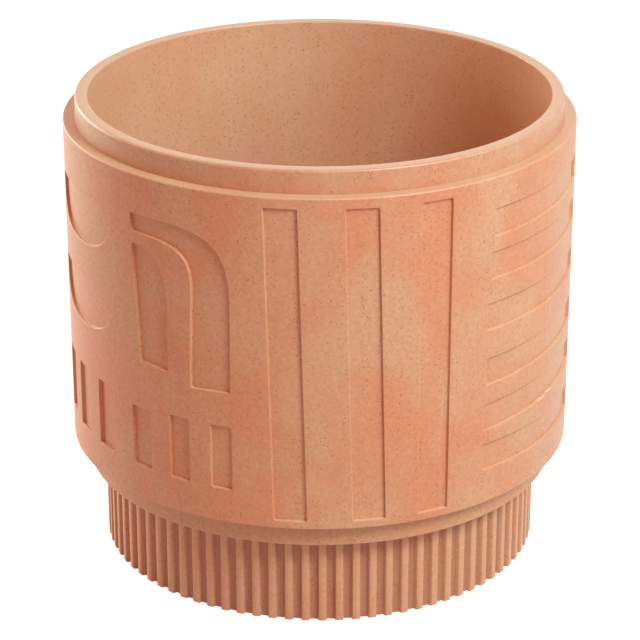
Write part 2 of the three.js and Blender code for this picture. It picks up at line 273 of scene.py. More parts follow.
def clouds_group():
    """Soft patches where the pigment lies sandier, with a fine mottle over them."""
    tree, given = shader_group("pigment_clouds", [
        ("Vector", "Vector", (0, 0, 0)),
        ("Tone", "Color", (0.6, 0.2, 0.1, 1)),
        ("Sandy Tone", "Color", (0.6, 0.3, 0.2, 1)),
        ("Clouds per Metre", "Float", 20),
        ("Mottle", "Float", 0.1),
    ], [("Colour", "Color"), ("Cloud", "Float")])
    drawn_up = node(tree, "ShaderNodeMapping", {"Vector": given["Vector"], "Scale": (1, 1, 0.7)})
    clouds = node(tree, "ShaderNodeTexNoise", {
        "Vector": drawn_up.outputs[0],
        "Scale": given["Clouds per Metre"],
        "Detail": 3,
        "Roughness": 0.5,
        "Distortion": 0.4,
    })
    patch = node(tree, "ShaderNodeMapRange", {
        "Value": clouds.outputs["Fac"], "From Min": 0.33, "From Max": 0.67,
    }, interpolation_type="SMOOTHSTEP")
    toned = mix_colours(tree, patch.outputs["Result"], given["Tone"], given["Sandy Tone"])
    fine = node(tree, "ShaderNodeTexNoise", {
        "Vector": given["Vector"], "Scale": 420, "Detail": 3, "Roughness": 0.6,
    })
    centred = maths(tree, "SUBTRACT", fine.outputs["Fac"], 0.5)
    swing = maths(tree, "MULTIPLY_ADD", centred, given["Mottle"], 1.0)
    mottled = node(tree, "ShaderNodeVectorMath", {0: toned, "Scale": swing}, operation="SCALE")
    node(tree, "NodeGroupOutput", {"Colour": mottled.outputs[0], "Cloud": patch.outputs["Result"]})
    return tree


def specks_group():
    """Small round flecks of darker pigment, scattered through the plastic."""
    tree, given = shader_group("pigment_specks", [
        ("Vector", "Vector", (0, 0, 0)),
        ("Colour", "Color", (0.6, 0.2, 0.1, 1)),
        ("Speck Colour", "Color", (0.1, 0.03, 0.02, 1)),
        ("Cells per Metre", "Float", 200),
        ("Speck Size", "Float", 0.12),
        ("Share of Cells", "Float", 0.5),
        ("Crowds per Metre", "Float", 50),
        ("Strength", "Float", 0.8),
    ], [("Colour", "Color")])
    cells = node(tree, "ShaderNodeTexVoronoi", {
        "Vector": given["Vector"], "Scale": given["Cells per Metre"],
    })
    chance = node(tree, "ShaderNodeSeparateColor", {0: cells.outputs["Color"]})
    size = maths(tree, "MULTIPLY", chance.outputs[1], given["Speck Size"])
    inside = maths(tree, "SUBTRACT", size, cells.outputs["Distance"])
    soft = node(tree, "ShaderNodeMapRange", {"Value": inside, "From Min": 0.0, "From Max": 0.035})
    crowds = node(tree, "ShaderNodeTexNoise", {
        "Vector": given["Vector"], "Scale": given["Crowds per Metre"], "Detail": 1,
    })
    crowding = node(tree, "ShaderNodeMapRange", {
        "Value": crowds.outputs["Fac"], "From Min": 0.35, "From Max": 0.65, "To Min": 0.4, "To Max": 1.4,
    })
    share = maths(tree, "MULTIPLY", crowding.outputs["Result"], given["Share of Cells"])
    present = maths(tree, "LESS_THAN", chance.outputs[0], share)
    seen = maths(tree, "MULTIPLY", soft.outputs["Result"], present)
    strength = maths(tree, "MULTIPLY", seen, given["Strength"])
    speckled = mix_colours(tree, strength, given["Colour"], given["Speck Colour"])
    node(tree, "NodeGroupOutput", {"Colour": speckled})
    return tree


def edges_group():
    """Paler plastic on edges, partly wear and partly painted highlight, and painted shade in the corners
    of hollows.
    """
    tree, given = shader_group("edge_tone", [
        ("Colour", "Color", (0.6, 0.2, 0.1, 1)),
        ("Pale Colour", "Color", (0.8, 0.5, 0.35, 1)),
        ("Edge Wear and Highlight", "Float", 0.3),
        ("Hollow Shade", "Float", 0.3),
    ], [("Colour", "Color")])
    bend = node(tree, "ShaderNodeNewGeometry").outputs["Pointiness"]
    edge = node(tree, "ShaderNodeMapRange", {
        "Value": bend, "From Min": 0.515, "From Max": 0.6, "To Max": given["Edge Wear and Highlight"],
    })
    hollow = node(tree, "ShaderNodeMapRange", {
        "Value": bend, "From Min": 0.485, "From Max": 0.4, "To Max": given["Hollow Shade"],
    })
    worn_and_highlit = mix_colours(tree, edge.outputs["Result"], given["Colour"], given["Pale Colour"])
    shaded = mix_colours(tree, hollow.outputs["Result"], worn_and_highlit, given["Colour"], "MULTIPLY")
    node(tree, "NodeGroupOutput", {"Colour": shaded})
    return tree


def painted_light_tops_group():
    """Painted light: a paler colour on the faces that look up, from a height on, for the light that falls
    on them.
    """
    tree, given = shader_group("painted_light_tops", [
        ("Colour", "Color", (0.6, 0.2, 0.1, 1)),
        ("Painted Light Colour", "Color", (0.8, 0.5, 0.35, 1)),
        ("Painted Light Share", "Float", 0.4),
        ("Vector", "Vector", (0, 0, 0)),
        ("From Height", "Float", 0.1),
    ], [("Colour", "Color")])
    normal = node(tree, "ShaderNodeNewGeometry").outputs["Normal"]
    facing = node(tree, "ShaderNodeSeparateXYZ", {0: normal})
    upward = node(tree, "ShaderNodeMapRange", {
        "Value": facing.outputs["Z"], "From Min": 0.88, "From Max": 0.99, "To Max": given["Painted Light Share"],
    })
    place = node(tree, "ShaderNodeSeparateXYZ", {0: given["Vector"]})
    high = maths(tree, "GREATER_THAN", place.outputs["Z"], given["From Height"])
    share = maths(tree, "MULTIPLY", upward.outputs["Result"], high)
    painted_light = mix_colours(tree, share, given["Colour"], given["Painted Light Colour"])
    node(tree, "NodeGroupOutput", {"Colour": painted_light})
    return tree


def radius_group():
    """Another tone nearer the Z axis, used for painted shade in the grooves of a round wall and for
    painted light on the inside of a pot.
    """
    tree, given = shader_group("tone_by_radius", [
        ("Colour", "Color", (0.6, 0.2, 0.1, 1)),
        ("Inward Colour", "Color", (0.4, 0.14, 0.07, 1)),
        ("Vector", "Vector", (0, 0, 0)),
        ("Outer Radius", "Float", 0.1335),
        ("Inner Radius", "Float", 0.1312),
        ("Share", "Float", 0.5),
    ], [("Colour", "Color")])
    across = node(tree, "ShaderNodeVectorMath", {0: given["Vector"], 1: (1, 1, 0)}, operation="MULTIPLY")
    radius = node(tree, "ShaderNodeVectorMath", {0: across.outputs[0]}, operation="LENGTH")
    depth = node(tree, "ShaderNodeMapRange", {
        "Value": radius.outputs["Value"], "From Min": given["Outer Radius"],
        "From Max": given["Inner Radius"], "To Max": given["Share"],
    })
    toned = mix_colours(tree, depth.outputs["Result"], given["Colour"], given["Inward Colour"])
    node(tree, "NodeGroupOutput", {"Colour": toned})
    return tree


def grain_group():
    """The fine grain that the mould leaves on the skin, over a slight unevenness of the wall."""
    tree, given = shader_group("moulded_grain", [
        ("Vector", "Vector", (0, 0, 0)),
        ("Grains per Metre", "Float", 1500),
        ("Waves per Metre", "Float", 40),
        ("Waviness", "Float", 2.0),
    ], [("Height", "Float")])
    grain = node(tree, "ShaderNodeTexNoise", {
        "Vector": given["Vector"], "Scale": given["Grains per Metre"], "Detail": 2,
    })
    waves = node(tree, "ShaderNodeTexNoise", {
        "Vector": given["Vector"], "Scale": given["Waves per Metre"], "Detail": 2,
    })
    height = maths(tree, "MULTIPLY_ADD", waves.outputs["Fac"], given["Waviness"], grain.outputs["Fac"])
    node(tree, "NodeGroupOutput", {"Height": height})
    return tree


PIGMENT_CLOUDS = clouds_group()
PIGMENT_SPECKS = specks_group()
EDGE_TONE = edges_group()
PAINTED_LIGHT_TOPS = painted_light_tops_group()
TONE_BY_RADIUS = radius_group()
MOULDED_GRAIN = grain_group()
SPECK_COLOUR = (0.19, 0.028, 0.005, 1)
FAINT_SPECK_COLOUR = (0.36, 0.10, 0.04, 1)
# Painted light: the paler colour laid on faces that look up, for the light and reflection they catch.
PAINTED_LIGHT_COLOUR = (0.70, 0.51, 0.35, 1)
PAINTED_LIGHT_FROM_TOP = 3
ROUGHNESS_SWING = 0.04


def speckled_plastic(
    name, tone, sandy, pale, clouds, offset, roughness, grain, wear_and_highlight, hollow, painted_light_from, inward=None,
):
    """Satin moulded plastic with clouded pigment, dark flecks, paler edges that are partly wear and partly
    painted highlight, painted shade in hollows, painted light on the faces that look up, and a fine
    grain. grain is its depth in millimetres, and the height where the painted light on tops begins is in
    metres. inward is another tone nearer the axis, painted shade in the base's grooves and painted light
    inside the inner pot, as (colour, outer radius, inner radius, share), with its radii in metres."""
    material = bpy.data.materials.new(name)
    material.use_nodes = True
    tree = material.node_tree
    surface = tree.nodes["Principled BSDF"]
    place = node(tree, "ShaderNodeTexCoord").outputs["Object"]
    vector = node(tree, "ShaderNodeMapping", {"Vector": place, "Location": offset}).outputs[0]
    clouded = node(tree, "ShaderNodeGroup", {
        "Vector": vector, "Tone": tone, "Sandy Tone": sandy, "Clouds per Metre": clouds, "Mottle": 0.5,
    }, node_tree=PIGMENT_CLOUDS)
    toned = clouded
    if inward:
        inward_colour, outer_radius, inner_radius, share = inward
        toned = node(tree, "ShaderNodeGroup", {
            "Colour": clouded.outputs["Colour"], "Inward Colour": inward_colour, "Vector": place,
            "Outer Radius": outer_radius, "Inner Radius": inner_radius, "Share": share,
        }, node_tree=TONE_BY_RADIUS)
    flecked = node(tree, "ShaderNodeGroup", {
        "Vector": vector, "Colour": toned.outputs["Colour"], "Speck Colour": SPECK_COLOUR,
        "Cells per Metre": 460, "Speck Size": 0.2, "Share of Cells": 0.65, "Strength": 0.8,
    }, node_tree=PIGMENT_SPECKS)
    dusted = node(tree, "ShaderNodeGroup", {
        "Vector": vector, "Colour": flecked.outputs["Colour"], "Speck Colour": FAINT_SPECK_COLOUR,
        "Cells per Metre": 640, "Speck Size": 0.34, "Share of Cells": 0.8, "Strength": 0.65,
    }, node_tree=PIGMENT_SPECKS)
    # Paler edges, partly wear and partly painted highlight, and painted shade in the corners of hollows.
    edged = node(tree, "ShaderNodeGroup", {
        "Colour": dusted.outputs["Colour"], "Pale Colour": pale, "Edge Wear and Highlight": wear_and_highlight, "Hollow Shade": hollow,
    }, node_tree=EDGE_TONE)
    # Painted light on the faces that look up.
    painted_light = node(tree, "ShaderNodeGroup", {
        "Colour": edged.outputs["Colour"], "Painted Light Colour": PAINTED_LIGHT_COLOUR, "Painted Light Share": 0.5,
        "Vector": place, "From Height": painted_light_from,
    }, node_tree=PAINTED_LIGHT_TOPS)
    grained = node(tree, "ShaderNodeGroup", {
        "Vector": vector, "Grains per Metre": 1400, "Waves per Metre": 45, "Waviness": 1.5,
    }, node_tree=MOULDED_GRAIN)
    gloss = node(tree, "ShaderNodeMapRange", {
        "Value": clouded.outputs["Cloud"],
        "To Min": roughness - ROUGHNESS_SWING, "To Max": roughness + ROUGHNESS_SWING,
    })
    bump = node(tree, "ShaderNodeBump", {
        "Height": grained.outputs["Height"], "Strength": 1.0, "Distance": grain * MM,
    })
    tree.links.new(painted_light.outputs["Colour"], surface.inputs["Base Color"])
    tree.links.new(gloss.outputs["Result"], surface.inputs["Roughness"])
    tree.links.new(bump.outputs["Normal"], surface.inputs["Normal"])
    surface.inputs["Sheen Weight"].default_value = 0.04
    surface.inputs["Sheen Roughness"].default_value = 0.4
    return material


# Base: painted shade in its rib grooves and hollows, paler edges that are partly wear and partly painted
# highlight, and painted light on the faces that look up at the band's top.
base_plastic = speckled_plastic(
    "base_plastic", BASE_TONE, BASE_SANDY_TONE, BASE_PALE_TONE,
    clouds=26, offset=(0.31, 0.12, 0.4), roughness=0.45, grain=0.035, wear_and_highlight=0.5, hollow=0.8,
    painted_light_from=(BAND_TOP - PAINTED_LIGHT_FROM_TOP) * MM,
    inward=(GROOVE_PAINTED_SHADE, RIB_RADIUS * MM, GROOVE_RADIUS * MM, GROOVE_PAINTED_SHADE_SHARE),
)
slice_object = mesh_object("base_slice", *base_slice())
ribs = slice_object.modifiers.new("ribs", "NODES")
ribs.node_group = repeat_tree()
rib_sockets = {item.name: item.identifier for item in ribs.node_group.interface.items_tree}
ribs[rib_sockets["Rib Count"]] = RIB_COUNT
ribs[rib_sockets["Weld Distance"]] = WELD_DISTANCE * MM
ribs[rib_sockets["Plastic"]] = base_plastic
evaluated = slice_object.evaluated_get(bpy.context.evaluated_depsgraph_get())
fluted_base = bpy.data.objects.new("base_with_ribs", bpy.data.meshes.new_from_object(evaluated))
bpy.context.scene.collection.objects.link(fluted_base)
bpy.data.objects.remove(slice_object)
smooth(fluted_base)
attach(fluted_base, "base")
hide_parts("fluted_base")


# Outer pot. A straight drum moulded in one wall, with its figures sunk 1.8 mm by raised pads in the
# mould. Its ledge carries the inner pot's collar, and a short spigot drops into the base's band.
_, drum_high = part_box("outer_pot")
DRUM_RADIUS = drum_high.x / MM
LEDGE_HEIGHT = drum_high.z / MM
DRUM_BOTTOM = BAND_TOP + 0.3
DRUM_COLUMNS = 336
COLUMN_ANGLE = 360 / DRUM_COLUMNS
COLUMN_ARC = math.tau * DRUM_RADIUS / DRUM_COLUMNS
FIRST_COLUMN = -88  # The half sheet begins and ends at a column that no figure crosses.
ROW_HEIGHT = 8
LONGEST_STRETCH = 12
NEAR_CUT = 0.25
SHEET_FOOT = DRUM_BOTTOM + 1.2
SHEET_TOP = LEDGE_HEIGHT - 1.6
DRUM_WALL = 4.6
DRUM_INNER_RADIUS = DRUM_RADIUS - DRUM_WALL
LEDGE_INNER_RADIUS = 141.4
LEDGE_THICKNESS = 4.2
LEDGE_SLOPE = 2
RING_FLOOR_INNER_RADIUS = 118
RING_FLOOR_TOP = DRUM_BOTTOM + 4
SPIGOT_CLEARANCE = 0.8
SPIGOT_RADIUS = BAND_INNER_RADIUS - SPIGOT_CLEARANCE
SPIGOT_INNER_RADIUS = SPIGOT_RADIUS - BASE_WALL
SPIGOT_DEPTH = 10.6
SPIGOT_FOOT = DRUM_BOTTOM - SPIGOT_DEPTH
FIGURE_DEPTH = 1.8
FIGURE_EDGE = 0.2
FIGURE_FILLET = 0.2
FIGURE_DRAFT = 0.15
ROUNDING_ANGLES = [0, 50, 90]
FIGURE_CORNER = 1.3
DRUM_TONE = (0.62, 0.226, 0.112, 1)
DRUM_SANDY_TONE = (0.61, 0.295, 0.168, 1)
# Paler colour for the drum's edges: partly wear, partly painted highlight on the figures' lit walls.
DRUM_PALE_TONE = (0.92, 0.68, 0.50, 1)

# The figures' sizes and places, in degrees round the drum and heights. A tall bar has its left angle at
# the top and at the foot. A cross bar has its left angle, and its top's height at the left and the
# right. A dash has its left angle, its width and its top. A bend has its start, end and fullness.
TALL_BARS = {"top": 265.6, "foot": 75.3, "width": 7.2}
TALL_BAR_PLACES = [(-11.85, -9.9), (5.25, 7.15), (21.65, 21.65)]
CROSS_BARS = {"right": 81, "height": 16.7}
CROSS_BAR_PLACES = [
    (40.0, 252.8, 254.0), (39.3, 227.2, 227.2), (38.5, 196.3, 196.3),
    (38.4, 162.3, 164.0), (38.2, 133.6, 137.5), (38.0, 108.7, 105.5),
]
DASHES_FOOT = 91.5
DASH_PLACES = [
    (-24.0, 4.9, 130.9), (-34.3, 5.0, 131.1), (-45.3, 5.8, 128.9), (-58.4, 6.3, 132.6),
    (-69.6, 6.1, 132.6), (-80.6, 6.1, 132.6), (-91.8, 6.1, 132.6),
]
BOWLS = {"middle": -66, "half_width": 15, "height": 29.5, "roundness": 2.5}
BOWL_TOPS = [243.3, 191.5]
BOWL_STEPS = 32
ARCH_MOUTH = [(-44.4, 248.3), (-44.1, 237.6)]
ARCH_FOOT = [(-28.7, 151.2), (-19.3, 152.2)]
ARCH_OUTSIDE_BEND = ((-36.5, 248.3), (-19.2, 205), 0.76)
ARCH_INSIDE_BEND = ((-42, 237.2), (-28.1, 212), 0.76)
PANE_CORNERS = [(-44.1, 230.3), (-42.4, 158.6), (-34.4, 157.4)]
PANE_BEND = ((-43.2, 230.3), (-34.2, 197), 0.66)
BEND_STEPS = 22


def on_sheet(corner):
    """A place on the unrolled drum from an angle and a height."""
    return math.radians(corner[0]) * DRUM_RADIUS, corner[1]


def bar(corners):
    """An outline with soft corners. Its corners are (angle, height), anticlockwise on the drum."""
    return round_corners([(x, y, FIGURE_CORNER, 0) for x, y in map(on_sheet, corners)])


def bend(start, end, fullness):
    """A quarter bend from a level start to an upright end. Fullness 0 cuts the corner, 1 fills it."""
    first, last = Vector(start), Vector(end)
    handles = (
        Vector((start[0] + (end[0] - start[0]) * fullness, start[1])),
        Vector((end[0], end[1] + (start[1] - end[1]) * fullness)),
    )
    curve = []
    for i in range(BEND_STEPS + 1):
        t = i / BEND_STEPS
        curve.append(
            first * (1 - t) ** 3 + handles[0] * 3 * t * (1 - t) ** 2
            + handles[1] * 3 * t ** 2 * (1 - t) + last * t ** 3
        )
    return [tuple(point) for point in curve]


def curved(corners_and_curves):
    """An outline from corners, as (angle, height), and curves, as lists of them, anticlockwise."""
    points = []
    for item in corners_and_curves:
        if isinstance(item, list):
            points += [(*on_sheet(point), 0, 0) for point in item]
        else:
            points.append((*on_sheet(item), FIGURE_CORNER, 0))
    return round_corners(points)


def figure_outlines():
    """Every figure of one half of the drum, as outlines on the unrolled drum: the tall bars, the cross
    bars, the dashes, the bowls, and the arch with the pane inside it."""
    outlines = []
    top, foot, width = TALL_BARS["top"], TALL_BARS["foot"], TALL_BARS["width"]
    for top_left, foot_left in TALL_BAR_PLACES:
        outlines.append(bar([
            (foot_left, foot), (foot_left + width, foot), (top_left + width, top), (top_left, top),
        ]))
    right, height = CROSS_BARS["right"], CROSS_BARS["height"]
    for left, left_top, right_top in CROSS_BAR_PLACES:
        outlines.append(bar([
            (left, left_top - height), (right, right_top - height), (right, right_top), (left, left_top),
        ]))
    for left, width, top in DASH_PLACES:
        outlines.append(bar([
            (left, DASHES_FOOT), (left + width, DASHES_FOOT), (left + width, top), (left, top),
        ]))
    middle, half_width = BOWLS["middle"], BOWLS["half_width"]
    power = 2 / BOWLS["roundness"]
    for top in BOWL_TOPS:
        belly = []
        for i in range(1, BOWL_STEPS):
            t = math.pi * (1 - i / BOWL_STEPS)
            reach = math.copysign(abs(math.cos(t)) ** power, math.cos(t))
            belly.append((middle + half_width * reach, top - BOWLS["height"] * math.sin(t) ** power))
        outlines.append(curved([(middle - half_width, top), belly, (middle + half_width, top)]))
    outlines.append(curved([
        *ARCH_MOUTH, bend(*ARCH_INSIDE_BEND), *ARCH_FOOT, bend(*ARCH_OUTSIDE_BEND)[::-1],
    ]))
    outlines.append(curved([*PANE_CORNERS, bend(*PANE_BEND)[::-1]]))
    return outlines


def figure_steps():
    """How a figure's wall goes down, as (distance in from its outline, depth): a rounded edge, a wall
    with a little draft, a fillet, and a guard step on the flats at each end."""
    steps = [(-FIGURE_EDGE - EDGE_GUARD, 0)]
    for turn in map(math.radians, ROUNDING_ANGLES):
        steps.append((FIGURE_EDGE * (math.sin(turn) - 1), FIGURE_EDGE * (1 - math.cos(turn))))
    for turn in map(math.radians, ROUNDING_ANGLES):
        steps.append((
            FIGURE_DRAFT + FIGURE_FILLET * (1 - math.cos(turn)),
            FIGURE_DEPTH - FIGURE_FILLET * (1 - math.sin(turn)),
        ))
    steps.append((FIGURE_DRAFT + FIGURE_FILLET + EDGE_GUARD, FIGURE_DEPTH))
    return steps


def divided(outline, widest, longest):
    """The closed outline with points added so that no stretch is too wide or too long."""
    made = []
    for i, start in enumerate(outline):
        end = outline[(i + 1) % len(outline)]
        parts = max(1, math.ceil(abs(end.x - start.x) / widest), math.ceil((end - start).length / longest))
        made += [start.lerp(end, j / parts) for j in range(parts)]
    return made


def inset(outline, distance, sharpest=0.5):
    """The closed outline moved inwards. It runs anticlockwise. sharpest limits how far a corner goes."""
    moved = []
    for i, point in enumerate(outline):
        before = (point - outline[i - 1]).normalized()
        after = (outline[(i + 1) % len(outline)] - point).normalized()
        along = (before + after).normalized()
        inward = Vector((-along.y, along.x))
        stretch = 1 / max(along.dot(after), sharpest)
        moved.append(point + inward * distance * stretch)
    return moved


class Sheet:
    """A flat sheet of points and fixed edges. Each point has a level, which says how deep it lies."""

    def __init__(self):
        self.points = []
        self.levels = []
        self.edges = []

    def add_line(self, points, level, closed=False):
        """Points at one level, each joined to the next by an edge."""
        first = len(self.points)
        count = len(points)
        self.points += points
        self.levels += [level] * count
        self.edges += [(first + i, first + i + 1) for i in range(count - 1)]
        if closed:
            self.edges.append((first + count - 1, first))

    def triangles(self):
        """The sheet's points as (x, y, level), and its triangles, anticlockwise."""
        every_triangle, closest = 0, 1e-5
        points, _, faces, origins, _, _ = delaunay_2d_cdt(
            self.points, self.edges, [], every_triangle, closest,
        )
        places = [
            (point.x, point.y, self.levels[origin[0]])
            for point, origin in zip(points, origins)
        ]
        return places, faces


def with_crossings(outline):
    """The outline with a point wherever an upright line of the sheet cuts it, and each line's cuts.
    A cut that lies close to a point of the outline takes its place."""
    corners = dict(enumerate(outline))
    stretches = []
    cuts = []
    for i, start in enumerate(outline):
        following = (i + 1) % len(outline)
        end = outline[following]
        low, high = sorted((start.x, end.x))
        found = []
        for column in range(math.ceil(low / COLUMN_ARC), math.ceil(high / COLUMN_ARC)):
            share = (column * COLUMN_ARC - start.x) / (end.x - start.x)
            cut = Vector((column * COLUMN_ARC, start.y + (end.y - start.y) * share))
            cuts.append((column, cut.y))
            near = min((i, following), key=lambda corner: (outline[corner] - cut).length)
            if (outline[near] - cut).length < NEAR_CUT and corners[near] is outline[near]:
                corners[near] = cut
            else:
                found.append((share, cut))
        stretches.append([cut for share, cut in sorted(found, key=lambda item: item[0])])
    made = []
    for i, stretch in enumerate(stretches):
        made += [corners[i], *stretch]
    return made, cuts


def drum_sheet(outlines):
    """Half of the drum's skin, unrolled, and each level's depth. Rings make the figures' walls, and
    upright lines on the skin and on the figures' floors follow the round."""
    steps = figure_steps()
    last = len(steps) - 1
    sheet = Sheet()
    columns = range(FIRST_COLUMN, FIRST_COLUMN + DRUM_COLUMNS // 2 + 1)
    events = {column: [] for column in columns}
    for outline in outlines:
        points = divided([point.xy for point in outline], COLUMN_ARC, LONGEST_STRETCH)
        for level, (distance, _) in enumerate(steps):
            ring = inset(points, distance)
            if level in (0, last):
                ring, cuts = with_crossings(ring)
                for column, height in cuts:
                    events[column].append((height, level))
            sheet.add_line(ring, level, closed=True)
    rows = round((SHEET_TOP - SHEET_FOOT) / ROW_HEIGHT)
    row_level = None
    for column in columns:
        for row in range(1, rows):
            events[column].append((SHEET_FOOT + (SHEET_TOP - SHEET_FOOT) * row / rows, row_level))
        x = column * COLUMN_ARC
        run = [Vector((x, SHEET_FOOT))]
        inside = {0: False, last: False}
        for height, level in sorted(events[column], key=lambda event: event[0]):
            point = Vector((x, height))
            if level is row_level:
                if inside[0] == inside[last]:
                    run.append(point)
                continue
            if inside[level] == (level == last):
                run.append(point)
                sheet.add_line(run, level)
            else:
                run = [point]
            inside[level] = not inside[level]
        run.append(Vector((x, SHEET_TOP)))
        sheet.add_line(run, 0)
    return sheet, [depth for _, depth in steps]


def outer_pot_mesh():
    """The drum's skin from its sheet, twice round, and the ledge, inside and spigot turned to it."""
    sheet, depths = drum_sheet(figure_outlines())
    places, faces = sheet.triangles()
    vertices = []
    all_faces = []
    for half_turn in (0, 180):
        first = len(vertices)
        for x, y, level in places:
            angle = math.degrees(x / DRUM_RADIUS) + half_turn
            vertices.append(on_circle(DRUM_RADIUS - depths[level], angle, y))
        all_faces += [tuple(first + i for i in face) for face in faces]
    profile = round_corners([
        (DRUM_RADIUS, SHEET_TOP, 0, 0),
        (DRUM_RADIUS, LEDGE_HEIGHT, 0.9, 0),
        (LEDGE_INNER_RADIUS, LEDGE_HEIGHT, 0.5, 0),
        (LEDGE_INNER_RADIUS, LEDGE_HEIGHT - LEDGE_THICKNESS, 0.5, 0),
        (DRUM_INNER_RADIUS, LEDGE_HEIGHT - LEDGE_THICKNESS - LEDGE_SLOPE, 1.5, 0),
        (DRUM_INNER_RADIUS, RING_FLOOR_TOP, 2, 0),
        (RING_FLOOR_INNER_RADIUS, RING_FLOOR_TOP, 0.6, 0),
        (RING_FLOOR_INNER_RADIUS, DRUM_BOTTOM, 0.6, 0),
        (SPIGOT_INNER_RADIUS, DRUM_BOTTOM, 1, 0),
        (SPIGOT_INNER_RADIUS, SPIGOT_FOOT, 0.6, 0),
        (SPIGOT_RADIUS, SPIGOT_FOOT, 0.8, 0),
        (SPIGOT_RADIUS, DRUM_BOTTOM, 0.5, 0),
        (DRUM_RADIUS, DRUM_BOTTOM, 0.6, 0),
        (DRUM_RADIUS, SHEET_FOOT, 0, 0),
    ])
    angles = [column * COLUMN_ANGLE for column in range(DRUM_COLUMNS + 1)]
    rest, rest_faces = swept(profile, angles, lambda point, j: point.x)
    first = len(vertices)
    return vertices + rest, all_faces + [tuple(first + i for i in face) for face in rest_faces]


# Drum: paler figure edges, partly wear and partly painted highlight, a little painted shade in hollows,
# and painted light on the faces that look up.
drum_plastic = speckled_plastic(
    "drum_plastic", DRUM_TONE, DRUM_SANDY_TONE, DRUM_PALE_TONE,
    clouds=23, offset=(0.0, 0.0, 0.0), roughness=0.42, grain=0.03, wear_and_highlight=0.7, hollow=0.15,
    painted_light_from=DRUM_BOTTOM * MM,
)
outer_pot = mesh_object("drum_with_figures", *outer_pot_mesh())
smooth(outer_pot)
outer_pot.data.materials.append(drum_plastic)
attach(outer_pot, "outer_pot")
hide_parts("outer_pot")


# Inner pot. A plain tapered moulding that hangs by its collar on the drum's ledge and lifts out for
# planting. Its wall widens to a thick rounded lip, and five drain holes go through its floor.
inner_low, inner_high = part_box("inner_pot")
LIP_HEIGHT = inner_high.z / MM
INNER_POT_FOOT = inner_low.z / MM
COLLAR_RADIUS = 144.9
LIP_WIDTH = 7.5
LIP_INNER_RADIUS = COLLAR_RADIUS - LIP_WIDTH
FLOOR_INNER_RADIUS = LIP_INNER_RADIUS - 2.6
INNER_FLOOR_TOP = INNER_POT_FOOT + 5
INNER_FLOOR_UNDERSIDE = INNER_POT_FOOT + 1.5
INNER_COLUMNS = 288
COLLAR_GAP = 0.05
COLLAR_DRAFT = 0.5
FOOT_INNER_RADIUS = 122
FOOT_OUTER_RADIUS = 131
FLOOR_SHEET_RADIUS = 124
UNDERSIDE_SHEET_RADIUS = 118
HOLE_RADIUS = 8
HOLE_COLUMNS = 48
HOLE_REACH = 75
HOLES = {
    "centre": (0, 0), "front": (0, -HOLE_REACH), "right": (HOLE_REACH, 0),
    "back": (0, HOLE_REACH), "left": (-HOLE_REACH, 0),
}
# A hole's softened edge, as (distance in from the hole's wall, depth).
HOLE_STEPS = [(-0.85, 0), (-0.5, 0), (-0.15, 0.15), (0, 0.5)]
INNER_TONE = (0.58, 0.235, 0.125, 1)
INNER_SANDY_TONE = (0.58, 0.295, 0.172, 1)
# Paler colour for the inner pot's edges: partly wear, partly painted highlight on its lip.
INNER_PALE_TONE = (0.88, 0.65, 0.48, 1)
# Painted light: a paler tone laid over the inside of the pot, for the light on its inner wall.
INSIDE_PAINTED_LIGHT = (0.78, 0.50, 0.34, 1)
INSIDE_PAINTED_LIGHT_RADIUS = COLLAR_RADIUS - 3
INSIDE_PAINTED_LIGHT_SHARE = 0.38


def circle(centre, radius, count):
    """Points anticlockwise round a centre, the first at the front."""
    return [
        Vector(centre) + Vector((math.sin(turn), -math.cos(turn))) * radius
        for turn in (math.tau * i / count for i in range(count))
    ]


def floor_sheet(radius, height, facing_up):
    """A round floor with its five holes, whose edges are softened, as vertices and faces. The triangles
    that fill a hole, with every corner on its innermost ring, are left out."""
    sheet = Sheet()
    border = len(HOLE_STEPS)
    sheet.add_line(circle((0, 0), radius, INNER_COLUMNS), border, closed=True)
    for place in HOLES.values():
        for level, (distance, _) in enumerate(HOLE_STEPS):
            sheet.add_line(circle(place, HOLE_RADIUS - distance, HOLE_COLUMNS), level, closed=True)
    places, faces = sheet.triangles()
    depths = [depth for _, depth in HOLE_STEPS] + [0]
    side = -1 if facing_up else 1
    vertices = [Vector((x, y, height + side * depths[level])) * MM for x, y, level in places]
    kept = []
    for face in faces:
        if not all(places[i][2] == border - 1 for i in face):
            kept.append(tuple(face) if facing_up else tuple(reversed(face)))
    return vertices, kept


def joined(*parts):
    """Several lists of vertices and faces as one."""
    vertices = []
    faces = []
    for part_vertices, part_faces in parts:
        first = len(vertices)
        vertices += part_vertices
        faces += [tuple(first + i for i in face) for face in part_faces]
    return vertices, faces


def hole_walls():
    """The straight walls of the drain holes, between the softened edges of the two floor faces."""
    vertices = []
    faces = []
    low = INNER_FLOOR_UNDERSIDE + HOLE_STEPS[-1][1]
    high = INNER_FLOOR_TOP - HOLE_STEPS[-1][1]
    for place in HOLES.values():
        first = len(vertices)
        for point in circle(place, HOLE_RADIUS, HOLE_COLUMNS):
            vertices += [Vector((point.x, point.y, height)) * MM for height in (low, high)]
        for i in range(HOLE_COLUMNS):
            a, b = first + 2 * i, first + 2 * ((i + 1) % HOLE_COLUMNS)
            faces.append((a, a + 1, b + 1, b))
    return vertices, faces


